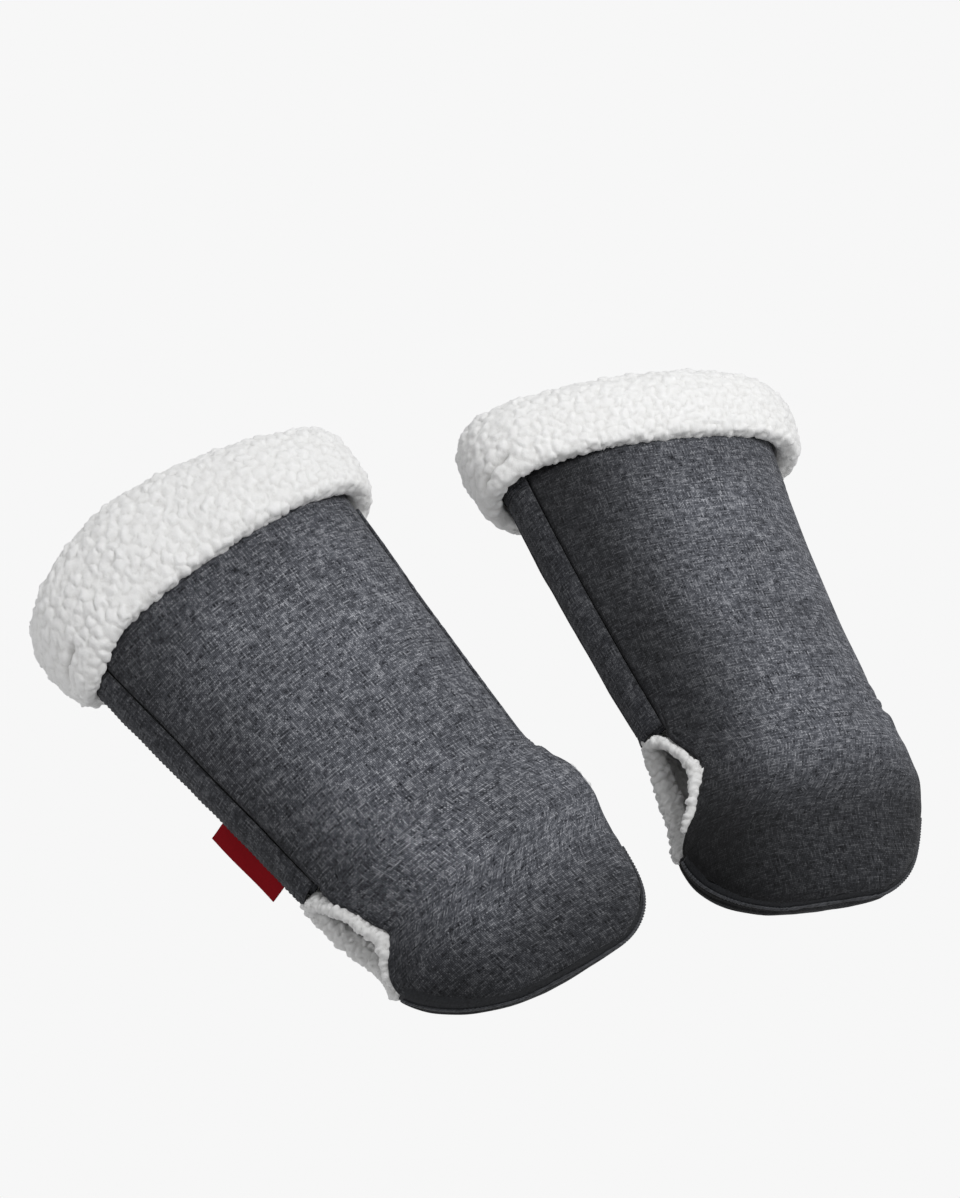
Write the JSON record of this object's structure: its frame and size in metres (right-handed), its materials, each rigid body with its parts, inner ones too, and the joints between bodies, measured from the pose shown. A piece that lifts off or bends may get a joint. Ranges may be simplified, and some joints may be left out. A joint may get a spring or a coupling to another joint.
{
  "type": "stroller hand muff",
  "caption": "Padded, fleece-lined hand muffs that close round a stroller's push bar with a side placket and a lapped toe, cuffs turned back.",
  "frame": {"origin": "midway between the two muffs, on the line through their side openings", "axes": "+X from the left muff to the right one along the push bar, +Z from the toes to the cuffs, the front panels face -Y"},
  "size_m": [0.5422, 0.1368, 0.4282],
  "materials": {
    "woven_shell": "heathered blue-grey weave, matt",
    "wadding": "lofty fibre sheet",
    "curly_fleece": "thick curly pile, matt",
    "hook_tape": "stiff hook tape, satin",
    "loop_tape": "brushed loop tape, matt",
    "toe_binding": "satin binding tape",
    "label_tab": "tightly woven satin ribbon"
  },
  "bodies": {
    "left_muff": {"left_front_shell": "woven_shell", "left_front_wadding": "wadding", "left_front_lining": "curly_fleece", "left_back_shell": "woven_shell", "left_back_wadding": "wadding", "left_back_lining": "curly_fleece", "left_placket_head": "woven_shell", "left_placket_loop_tape": "loop_tape", "left_placket_underlap": "woven_shell", "left_toe_loop_tape": "loop_tape", "left_toe_facing": "woven_shell", "left_outer_lip_back": "curly_fleece", "left_inner_lip_back": "curly_fleece", "left_cuff_front": "curly_fleece", "left_cuff_back": "curly_fleece", "left_side_piping": "woven_shell"},
    "left_placket": {"left_placket_flap": "woven_shell", "left_placket_hook_tape": "hook_tape", "left_label_tab": "label_tab"},
    "left_toe": {"left_toe_flap_shell": "woven_shell", "left_toe_flap_wadding": "wadding", "left_toe_flap_lining": "curly_fleece", "left_toe_hook_tape": "hook_tape", "left_toe_binding": "toe_binding", "left_outer_lip_front": "curly_fleece", "left_inner_lip_front": "curly_fleece"},
    "right_muff": {"right_front_shell": "woven_shell", "right_front_wadding": "wadding", "right_front_lining": "curly_fleece", "right_back_shell": "woven_shell", "right_back_wadding": "wadding", "right_back_lining": "curly_fleece", "right_placket_head": "woven_shell", "right_placket_loop_tape": "loop_tape", "right_placket_underlap": "woven_shell", "right_toe_loop_tape": "loop_tape", "right_toe_facing": "woven_shell", "right_outer_lip_back": "curly_fleece", "right_inner_lip_back": "curly_fleece", "right_cuff_front": "curly_fleece", "right_cuff_back": "curly_fleece", "right_side_piping": "woven_shell"},
    "right_placket": {"right_placket_flap": "woven_shell", "right_placket_hook_tape": "hook_tape"},
    "right_toe": {"right_toe_flap_shell": "woven_shell", "right_toe_flap_wadding": "wadding", "right_toe_flap_lining": "curly_fleece", "right_toe_hook_tape": "hook_tape", "right_toe_binding": "toe_binding", "right_outer_lip_front": "curly_fleece", "right_inner_lip_front": "curly_fleece"}
  },
  "joints": [
    {"name": "right_muff_spacing", "type": "slide", "parent": "left_muff", "child": "right_muff", "axis": [0.9748, 0.1305, -0.1807], "range_m": [-0.02, 0.06]},
    {"name": "left_toe_flap", "type": "hinge", "parent": "left_muff", "child": "left_toe", "pos_m": [-0.11656, -0.04821, 0.05244], "axis": [-0.9748, 0.1305, -0.1807], "range_deg": [0, 100]},
    {"name": "right_toe_flap", "type": "hinge", "parent": "right_muff", "child": "right_toe", "pos_m": [0.11656, -0.01921, 0.03444], "axis": [-0.9748, -0.1305, 0.1807], "range_deg": [0, 100]},
    {"name": "left_placket_flap", "type": "hinge", "parent": "left_muff", "child": "left_placket", "pos_m": [-0.1864, -0.02213, 0.03949], "axis": [-0.259, 0.001, 0.9659], "range_deg": [0, 120]},
    {"name": "right_placket_flap", "type": "hinge", "parent": "right_muff", "child": "right_placket", "pos_m": [0.04247, -0.0124, 0.04817], "axis": [0.1067, -0.0194, 0.9941], "range_deg": [0, 120]}
  ]
}
